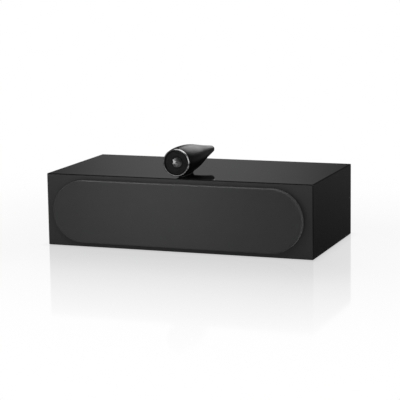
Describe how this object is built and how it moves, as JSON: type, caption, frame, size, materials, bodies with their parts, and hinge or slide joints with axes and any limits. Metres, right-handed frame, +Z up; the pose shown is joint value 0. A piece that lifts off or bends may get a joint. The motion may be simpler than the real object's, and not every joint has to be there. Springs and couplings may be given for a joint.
{
  "type": "center channel speaker",
  "caption": "Low wide gloss black loudspeaker cabinet with an obround cloth grille on the front and a tapered tweeter pod on top, with reflex ports and screw terminals at the rear.",
  "frame": {"origin": "middle of the cabinet's underside", "axes": "+Z up, +X to the right of someone facing the grille, the grille faces -Y"},
  "size_m": [0.742, 0.395, 0.2748],
  "materials": {
    "black_lacquer": "gloss",
    "bare_board": "matte",
    "grille_cloth": "matte",
    "frame_plastic": "matte",
    "plated_magnet": "polished",
    "cast_alloy": "satin",
    "bass_cone_paper": "satin",
    "woven_cone": "satin",
    "surround_rubber": "matte",
    "spider_cloth": "matte",
    "copper_coil": "satin",
    "plated_steel": "satin",
    "ferrite": "matte",
    "plug_alloy": "satin",
    "pod_alloy": "gloss",
    "bright_ring": "polished",
    "mesh_steel": "satin",
    "faceplate_steel": "satin",
    "dome_alloy": "satin",
    "soft_seal": "matte",
    "black_steel": "satin",
    "moulded_plastic": "satin",
    "plated_brass": "polished",
    "black_cap": "gloss",
    "red_cap": "gloss",
    "circuit_board": "satin",
    "film_can": "satin",
    "lead_rubber": "satin"
  },
  "bodies": {
    "root": {"baffle_magnets": "plated_magnet", "bass_left_chassis": "cast_alloy", "bass_left_magnet": "ferrite", "bass_left_spider": "spider_cloth", "bass_left_surround": "surround_rubber", "bass_left_top_plate": "plated_steel", "bass_left_yoke": "plated_steel", "bass_right_chassis": "cast_alloy", "bass_right_magnet": "ferrite", "bass_right_spider": "spider_cloth", "bass_right_surround": "surround_rubber", "bass_right_top_plate": "plated_steel", "bass_right_yoke": "plated_steel", "bottom_panel": "black_lacquer", "crossover_board": "circuit_board", "crossover_capacitors": "film_can", "crossover_coils": "copper_coil", "front_baffle": "black_lacquer", "grille_cloth": "grille_cloth", "grille_frame": "frame_plastic", "grille_magnets": "plated_magnet", "internal_leads": "lead_rubber", "left_divider": "bare_board", "left_panel": "black_lacquer", "midrange_chassis": "cast_alloy", "midrange_magnet": "ferrite", "midrange_phase_plug": "plug_alloy", "midrange_spider": "spider_cloth", "midrange_surround": "surround_rubber", "midrange_top_plate": "plated_steel", "midrange_yoke": "plated_steel", "port_left": "moulded_plastic", "port_right": "moulded_plastic", "rear_panel": "black_lacquer", "right_divider": "bare_board", "right_panel": "black_lacquer", "screws": "black_steel", "terminal_posts": "plated_brass", "terminal_tray": "moulded_plastic", "top_panel": "black_lacquer", "tweeter_bolt": "black_steel", "tweeter_faceplate": "faceplate_steel", "tweeter_housing": "pod_alloy", "tweeter_magnet": "ferrite", "tweeter_mesh": "mesh_steel", "tweeter_ring": "bright_ring", "tweeter_seal": "soft_seal", "tweeter_surround": "surround_rubber", "tweeter_yoke": "plated_steel"},
    "bass_left_moving": {"bass_left_cone": "bass_cone_paper", "bass_left_voice_coil": "copper_coil"},
    "bass_right_moving": {"bass_right_cone": "bass_cone_paper", "bass_right_voice_coil": "copper_coil"},
    "midrange_moving": {"midrange_cone": "woven_cone", "midrange_voice_coil": "copper_coil"},
    "tweeter_moving": {"tweeter_dome": "dome_alloy"},
    "collar_black": {"terminal_collar_black": "plated_brass"},
    "collar_red": {"terminal_collar_red": "plated_brass"},
    "cap_black": {"terminal_cap_black": "black_cap"},
    "cap_red": {"terminal_cap_red": "red_cap"}
  },
  "joints": [
    {"name": "bass_left_slide", "type": "slide", "parent": "root", "child": "bass_left_moving", "axis": [0, -1, 0], "range_m": [-0.005, 0.005], "stiffness_N_per_m": 1300, "deforming": ["bass_left_surround", "bass_left_spider"]},
    {"name": "bass_right_slide", "type": "slide", "parent": "root", "child": "bass_right_moving", "axis": [0, -1, 0], "range_m": [-0.005, 0.005], "stiffness_N_per_m": 1300, "deforming": ["bass_right_surround", "bass_right_spider"]},
    {"name": "midrange_slide", "type": "slide", "parent": "root", "child": "midrange_moving", "axis": [0, -1, 0], "range_m": [-0.002, 0.002], "stiffness_N_per_m": 3000, "deforming": ["midrange_surround", "midrange_spider"]},
    {"name": "tweeter_slide", "type": "slide", "parent": "root", "child": "tweeter_moving", "axis": [0, -1, 0], "range_m": [-0.0003, 0.0003], "stiffness_N_per_m": 4000, "deforming": ["tweeter_surround"]},
    {"name": "collar_black_travel", "type": "slide", "parent": "root", "child": "collar_black", "axis": [0, 1, 0], "range_m": [0, 0.0033]},
    {"name": "cap_black_turn", "type": "hinge", "parent": "collar_black", "child": "cap_black", "pos_m": [-0.019, 0.1695, 0.0975], "axis": [0, 1, 0], "range_deg": [0, 1440]},
    {"name": "collar_red_travel", "type": "slide", "parent": "root", "child": "collar_red", "axis": [0, 1, 0], "range_m": [0, 0.0033]},
    {"name": "cap_red_turn", "type": "hinge", "parent": "collar_red", "child": "cap_red", "pos_m": [0.019, 0.1695, 0.0975], "axis": [0, 1, 0], "range_deg": [0, 1440]}
  ],
  "couplings": [
    {"joint": "collar_black_travel", "follows": "cap_black_turn", "m_per_rad": 0.00012732},
    {"joint": "collar_red_travel", "follows": "cap_red_turn", "m_per_rad": 0.00012732}
  ]
}
